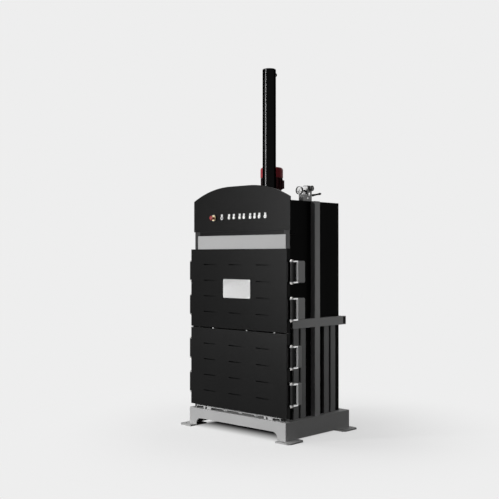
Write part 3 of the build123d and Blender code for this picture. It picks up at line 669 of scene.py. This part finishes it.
# %% [markdown]
# The plate on the upper door
#
# A pale plate sits on the upper door: a thin enamelled sheet with round corners and a
# pressed rim, held by four rivets. It could be painted on the door by a mask, but its
# edge catches light, so it is modelled: a flat box whose corners are bevelled, and whose
# face is inset twice and pushed back.

# %% Bare plate
PLATE_SIZE = (0.320, 0.002, 0.160)
PLATE_HEIGHT = 1.230
PLATE_CORNER = 0.008
RIM_WIDTH, RIM_SLOPE, RIM_DEPTH = 0.004, 0.0012, 0.0006
DOOR_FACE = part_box("upper_door")[0][1]
PLATE_MIDDLE = Vector((0.0, DOOR_FACE - PLATE_SIZE[1] / 2, PLATE_HEIGHT))
enamel = moulded("pale_enamel", (0.60, 0.60, 0.60), roughness=0.38, gleam=0.20)

plate = thin_sheet(PLATE_MIDDLE, PLATE_SIZE, PLATE_CORNER, segments=5)
pick(plate, "FACE", faces_front)
bpy.ops.mesh.inset(thickness=RIM_WIDTH)
bpy.ops.mesh.inset(thickness=RIM_SLOPE)
bpy.ops.transform.translate(value=(0.0, RIM_DEPTH, 0.0))
end(plate, "door_plate", enamel, "upper_door", "light_plastic")
print("plate", [round(size, 3) for size in plate.dimensions])

# %% Rivets of the plate
QUARTER = math.radians(90)
RIVET_RADIUS, RIVET_DEPTH, RIVET_ROUNDING = 0.0035, 0.0016, 0.0011
RIVET_X, RIVET_Z = 0.148, 0.068
RIVET_OUT = (PLATE_SIZE[1] + RIVET_DEPTH) / 2
bright_zinc = plated("bright_zinc", level=0.64, roughness=0.30)

begin()
corner = PLATE_MIDDLE + Vector((-RIVET_X, -RIVET_OUT, -RIVET_Z))
bpy.ops.mesh.primitive_cylinder_add(vertices=20, radius=RIVET_RADIUS, depth=RIVET_DEPTH,
                                    location=corner, rotation=(QUARTER, 0, 0))
rivet = edit(bpy.context.object)
pick(rivet, "FACE", faces_front)
bpy.ops.mesh.bevel(offset=RIVET_ROUNDING, segments=3, affect="EDGES")
end(rivet, "plate_rivet_1", bright_zinc, "upper_door", "steel")
for number, (right, up) in enumerate(((1, 0), (0, 1), (1, 1)), 2):
    shift = (2 * RIVET_X * right, 0.0, 2 * RIVET_Z * up)
    copy_to(rivet, f"plate_rivet_{number}", shift, "upper_door")
print("rivet radius", RIVET_RADIUS, "m")

# %% [markdown]
# Labels over the switches
#
# Over each switch sits a small pale label of laminate. The nine labels are alike, so one
# is modelled, with round corners and a soft front edge, and copied to the other switches.

# %% Switch labels
SWITCH_X = (-0.213, -0.125, -0.067, 0.003, 0.052, 0.126, 0.177, 0.230, 0.297)
LABEL_Z = 1.8645
LABEL_SIZE = (0.022, 0.0012, 0.018)
LABEL_CORNER = 0.0025
LABEL_EDGE, LABEL_PROUD = 0.0008, 0.0003
HOOD_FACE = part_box("hood")[0][1]
laminate = moulded("label_laminate", (0.68, 0.68, 0.67), roughness=0.42, gleam=0.12)

label_place = (SWITCH_X[0], HOOD_FACE - LABEL_SIZE[1] / 2, LABEL_Z)
label = thin_sheet(label_place, LABEL_SIZE, LABEL_CORNER, segments=4)
pick(label, "FACE", faces_front)
bpy.ops.mesh.inset(thickness=LABEL_EDGE)
bpy.ops.transform.translate(value=(0.0, -LABEL_PROUD, 0.0))
end(label, "switch_label_1", laminate, "machine", "light_plastic")
for number, x in enumerate(SWITCH_X[1:], 2):
    shift = (x - SWITCH_X[0], 0.0, 0.0)
    copy_to(label, f"switch_label_{number}", shift, "machine")
print("labels", len(SWITCH_X))

# %% [markdown]
# The ring of the gauge
#
# A pressed metal ring holds the glass of a pressure gauge. A torus would be too round,
# and a cylinder too sharp. A small rectangle with rounded corners, spun full circle about
# the gauge's axis, has the flat face and the soft edges of a pressing.

# %% Ring round the gauge
GAUGE = Vector((0.470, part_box("gauge_case")[0][1], 2.062))
GAUGE_RADIUS = 0.034
RING_WIDTH, RING_DEPTH, RING_ROUNDING = 0.0024, 0.0018, 0.0008
ring_metal = plated("gauge_ring_metal", level=0.09, roughness=0.30)

begin()
place = GAUGE + Vector((GAUGE_RADIUS - RING_WIDTH / 2, -RING_DEPTH / 2, 0.0))
bpy.ops.mesh.primitive_plane_add(size=1.0, location=place)
ring = bpy.context.object
ring.scale = (RING_WIDTH, RING_DEPTH, 1.0)
edit(ring)
bpy.ops.mesh.select_all(action="SELECT")
bpy.ops.mesh.bevel(offset=RING_ROUNDING, segments=3, affect="VERTICES")
bpy.ops.mesh.delete(type="ONLY_FACE")
spin_round(56, GAUGE, (0.0, 1.0, 0.0))
end(ring, "gauge_ring", ring_metal, "machine", "steel")
print("gauge ring", [round(size, 4) for size in ring.dimensions])

# %% [markdown]
# The scale of the gauge
#
# The dial has a ring of printed ticks. They could be a pattern in its material, but a
# tick is less than 1 mm wide, so thin sheets are crisper. One tick at the top is
# duplicated and turned about the gauge's axis, ten times over, and then the whole scale
# is turned back until it is centred.

# %% Scale on the dial
TICKS = 11
TICK_SIZE = (0.0008, 0.0003, 0.0036)
TICK_RADIUS = 0.0245
TICK_CORNER = 0.0002
TICK_TURN = 27.0
DIAL_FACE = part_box("gauge_dial")[0][1]
scale_ink = moulded("scale_ink", (0.10, 0.10, 0.10), roughness=0.5)

tick_place = (GAUGE.x, DIAL_FACE - TICK_SIZE[1] / 2, GAUGE.z + TICK_RADIUS)
tick = thin_sheet(tick_place, TICK_SIZE, TICK_CORNER, segments=1)
bpy.ops.mesh.select_all(action="SELECT")
for _ in range(TICKS - 1):
    bpy.ops.mesh.duplicate()
    bpy.ops.transform.rotate(value=-math.radians(TICK_TURN), orient_axis="Y",
                             center_override=GAUGE)
bpy.ops.mesh.select_all(action="SELECT")
bpy.ops.transform.rotate(value=math.radians(TICK_TURN * (TICKS - 1) / 2), orient_axis="Y",
                         center_override=GAUGE)
end(tick, "gauge_scale", scale_ink, "machine", "black_plastic")
print("scale ticks", TICKS)

# %% [markdown]
# The weld at the foot of the cylinder
#
# The cylinder tube is welded to its flange, and a weld is never smooth: it is a row of
# overlapping ripples. Bump would make them only on the surface, and not in the outline.
# The bead is a round profile that is spun about the cylinder in many short steps, and
# every second step is drawn in a little.

# %% Weld bead
FLANGE_TOP = 2.004
TUBE_FOOT = Vector((0.0, 0.025, FLANGE_TOP))
TUBE_RADIUS = 0.060
BEAD_RADIUS, BEAD_OUT, BEAD_UP = 0.0055, 0.001, 0.001
BEAD_STEPS = 96
RIPPLE = (0.985, 0.985, 0.90)
BEAD_SMOOTH = 60.0
weld_metal = plated("weld_metal", level=0.05, roughness=0.45)


def every_second_step(place, normal):
    turn = math.atan2(place.y - TUBE_FOOT.y, place.x - TUBE_FOOT.x)
    return round(turn / (math.tau / BEAD_STEPS)) % 2 == 0


begin()
place = TUBE_FOOT + Vector((TUBE_RADIUS + BEAD_OUT, 0.0, BEAD_UP))
bpy.ops.mesh.primitive_circle_add(vertices=10, radius=BEAD_RADIUS, location=place,
                                  rotation=(QUARTER, 0, 0))
bead = edit(bpy.context.object)
spin_round(BEAD_STEPS, TUBE_FOOT, (0.0, 0.0, 1.0))
pick(bead, "VERT", every_second_step)
bpy.ops.transform.resize(value=RIPPLE, center_override=TUBE_FOOT)
end(bead, "cylinder_weld", weld_metal, "machine", "steel", smooth=BEAD_SMOOTH)
print("bead faces", len(bead.data.polygons))

# %% [markdown]
# The sleeve on the valve lever
#
# The photograph shows a thick black handle, thicker than its steel rod. Such a lever has
# a rubber sleeve with grip rings. The sleeve is a cylinder along the rod with rounded
# ends. It has to be cut into short bands for the rings, and bisecting works at any slope:
# each new cut is selected at once, and every second one is pushed in.

# %% Lever sleeve
LEVER_FOOT = Vector((0.470, 0.026, 2.024))
LEVER_SLOPE = math.radians(10.0)
ALONG = Vector((0.0, math.cos(LEVER_SLOPE), math.sin(LEVER_SLOPE)))
SLEEVE_RADIUS, SLEEVE_LENGTH, SLEEVE_MIDDLE = 0.0105, 0.100, 0.078
SLEEVE_ROUNDING = 0.0025
CUTS, FIRST_CUT, CUT_GAP = 15, 0.036, 0.006
GRIP = (0.88, 0.88, 0.88)
SLEEVE_SMOOTH = 50.0
rubber = moulded("lever_rubber", (0.006, 0.006, 0.006), roughness=0.60, gleam=0.10)

begin()
bpy.ops.mesh.primitive_cylinder_add(vertices=28, radius=SLEEVE_RADIUS, depth=SLEEVE_LENGTH,
                                    location=LEVER_FOOT + ALONG * SLEEVE_MIDDLE,
                                    rotation=(LEVER_SLOPE - QUARTER, 0, 0))
sleeve = edit(bpy.context.object)
pick(sleeve, "FACE", lambda middle, normal: abs(normal.dot(ALONG)) > ALIGNED)
bpy.ops.mesh.bevel(offset=SLEEVE_ROUNDING, segments=4, affect="EDGES")
for number in range(CUTS):
    cut = LEVER_FOOT + ALONG * (FIRST_CUT + number * CUT_GAP)
    bpy.ops.mesh.select_all(action="SELECT")
    bpy.ops.mesh.bisect(plane_co=cut, plane_no=ALONG)
    if number % 2:
        bpy.ops.transform.resize(value=GRIP, center_override=cut)
end(sleeve, "lever_sleeve", rubber, "valve_lever", "black_plastic", smooth=SLEEVE_SMOOTH)
print("sleeve faces", len(sleeve.data.polygons))

# %% [markdown]
# Plugs on the valve block
#
# The right side of the valve block shows small bright fittings. They are screw plugs that
# close its bores: short round bars with a socket in their face. The socket could be cut
# with a boolean, but to inset the face and push it in is simpler and keeps the mesh clean.

# %% Valve plugs
VALVE_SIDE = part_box("valve_block")[1][0]
PLUG_PROUD = 0.006
PLUG_ROUNDING = 0.0010
SOCKET_RIM, SOCKET_DEPTH = 0.42, 0.6


def faces_right(middle, normal):
    return normal.x > ALIGNED


def plug(name, y, z, radius):
    """A round plug on the right side of the valve block, with a socket in its face."""
    begin()
    place = (VALVE_SIDE + PLUG_PROUD / 2, y, z)
    bpy.ops.mesh.primitive_cylinder_add(vertices=24, radius=radius, depth=PLUG_PROUD,
                                        location=place, rotation=(0, QUARTER, 0))
    made = edit(bpy.context.object)
    pick(made, "FACE", faces_right)
    bpy.ops.mesh.bevel(offset=PLUG_ROUNDING, segments=2, affect="EDGES")
    pick(made, "FACE", faces_right)
    bpy.ops.mesh.inset(thickness=radius * SOCKET_RIM)
    bpy.ops.transform.translate(value=(-PLUG_PROUD * SOCKET_DEPTH, 0.0, 0.0))
    end(made, name, bright_zinc, "machine", "steel")


plug("valve_plug_upper", y=-0.028, z=2.034, radius=0.0135)
plug("valve_plug_front", y=-0.047, z=1.999, radius=0.009)
print("plugs stand out", PLUG_PROUD, "m")

# %% [markdown]
# The floor
#
# The photograph has a pale floor that runs into a pale background, and a shade under the
# machine. More light would make the floor pale, but it would wash out the machine too. So
# part of the floor's paleness is a glow that only the camera, mirrors and glass see,
# and the light that bounces off the floor stays dim. The floor is darkened under the
# machine, where hardly any light gets in. Near the machine it is part surface, so
# that it takes the machine's shadow, and far away it is all glow and meets the background.

# %% What the camera sees
def seen(tree):
    """1 for what the camera, a mirror or glass sees, 0 for bounced light."""
    path = tree.node("ShaderNodeLightPath", {}, {}, "Is Camera Ray")
    for output in ("Is Glossy Ray", "Is Transmission Ray"):
        path = path.math("MAXIMUM", tree.node("ShaderNodeLightPath", {}, {}, output))
    return path


print("camera, mirror and glass rays are told apart")

# %% Shade under the machine
FLOOR_SIZE, FLOOR_DROP = 60.0, 0.0005
SHADE_HALF_X, SHADE_HALF_Y, SHADE_MIDDLE_Y = 0.55, 0.428, 0.016
SHADE_START, SHADE_END = -0.26, 0.04
SIDE_STEEPNESS = 3.0
FLOOR_DARK, FLOOR_PALE = 0.02, 0.86

begin()
bpy.ops.mesh.primitive_plane_add(size=FLOOR_SIZE, location=(0.0, 0.0, -FLOOR_DROP))
floor = bpy.context.object
floor.name = "studio_floor"
ground = Finish("studio_floor", roughness=0.9, specular_ior_level=0.0)
visible = seen(ground)
beside = ground.part(ground.place, "X").math("ABSOLUTE") - SHADE_HALF_X
before = (ground.part(ground.place, "Y") - SHADE_MIDDLE_Y).math("ABSOLUTE") - SHADE_HALF_Y
open_floor = (beside * SIDE_STEEPNESS).math("MAXIMUM", before).step(SHADE_START, SHADE_END)
ground.set(base_color=ground.mix(visible * open_floor, grey(FLOOR_DARK), grey(FLOOR_PALE)))
print("shade", 2 * SHADE_HALF_X, "by", 2 * SHADE_HALF_Y, "m")

# %% Glow of the floor
BACKGROUND = 0.855
NEAR_GLOW = 0.99
NEAR_SHARE = 0.60
GLOW_START, GLOW_END = 0.75, 2.4

distance = ground.node("ShaderNodeVectorMath", {"operation": "LENGTH"}, {0: ground.place},
                       "Value")
far = distance.step(GLOW_START, GLOW_END)
glow = (far * (1 - NEAR_SHARE) + NEAR_SHARE) * visible
pale = ground.mix(far, grey(NEAR_GLOW), grey(BACKGROUND))
pale = ground.mix(open_floor, grey(0.0), pale)
shine = ground.node("ShaderNodeEmission", {}, {"Color": pale, "Strength": 1.0})
surface = Field(ground, ground.shader.outputs[0])
mixed = ground.node("ShaderNodeMixShader", {}, {0: glow, 1: surface, 2: shine})
ground.feed(ground.tree.nodes["Material Output"].inputs["Surface"], mixed)
floor.data.materials.append(ground.material)
print("floor glows", NEAR_SHARE, "near the machine and fully from", GLOW_END, "m")

# %% [markdown]
# The background
#
# The world is the pale background. A bright world would light the machine from all sides
# and take away its dark side, so it is as bright as the background only where the camera,
# a mirror or glass looks at it, and very dim as a light.

# %% World
WORLD_LIGHT = 0.07

world = bpy.data.worlds.new("studio")
bpy.context.scene.world = world
world.use_nodes = True
studio = Nodes(world.node_tree)
backdrop = studio.tree.nodes["Background"]
inputs = {"Value": seen(studio), "To Min": WORLD_LIGHT, "To Max": BACKGROUND}
studio.feed(backdrop.inputs["Strength"], studio.node("ShaderNodeMapRange", {}, inputs))
studio.feed(backdrop.inputs["Color"], grey(1.0))
print("world", BACKGROUND, "to the camera and", WORLD_LIGHT, "as a light")

# %% [markdown]
# The lights
#
# The photograph is lit by a tall soft light at the front left, and its right side gets
# very little. A sun or a point light would draw hard shadows, so all lamps here are
# softboxes. The key light is that tall one. The front light fills the front without a
# reflection of its own, because black panels would show it as a grey haze. The tube light
# is the other way round: it adds nothing to matt surfaces, and draws the bright line in
# the gloss of the cylinder. One light at the upper left brightens what faces up, and two
# weak ones fill the dark side and the back.

# %% Softboxes
AIM = Vector((0.0, 0.0, 1.2))


def soft_light(name, azimuth, elevation, distance, size, watts):
    """A softbox that looks at the middle of the machine; azimuth 0 is straight in front."""
    turn, lift = math.radians(azimuth), math.radians(elevation)
    level = math.cos(lift)
    away = Vector((math.sin(turn) * level, -math.cos(turn) * level, math.sin(lift)))
    lamp = bpy.data.objects.new(name, bpy.data.lights.new(name, "AREA"))
    lamp.data.shape = "RECTANGLE"
    lamp.data.size, lamp.data.size_y = size
    lamp.data.energy = watts
    bpy.context.scene.collection.objects.link(lamp)
    lamp.location = AIM + away * distance
    lamp.rotation_euler = (-away).to_track_quat("-Z", "Y").to_euler()
    return lamp


soft_light("key_light", -31.0, 7.0, 14.0, (2.0, 6.0), 1290.0)
soft_light("front_light", -6.0, 8.0, 14.0, (4.0, 4.0), 560.0).visible_glossy = False
soft_light("tube_light", -20.0, 14.5, 14.0, (0.5, 3.2), 1900.0).visible_diffuse = False
soft_light("left_top_light", -75.0, 52.0, 9.0, (5.0, 5.0), 300.0)
soft_light("side_fill", 102.0, 3.0, 2.3, (0.5, 0.9), 4.4)
soft_light("back_fill", 200.0, 35.0, 7.0, (3.0, 3.0), 40.0)
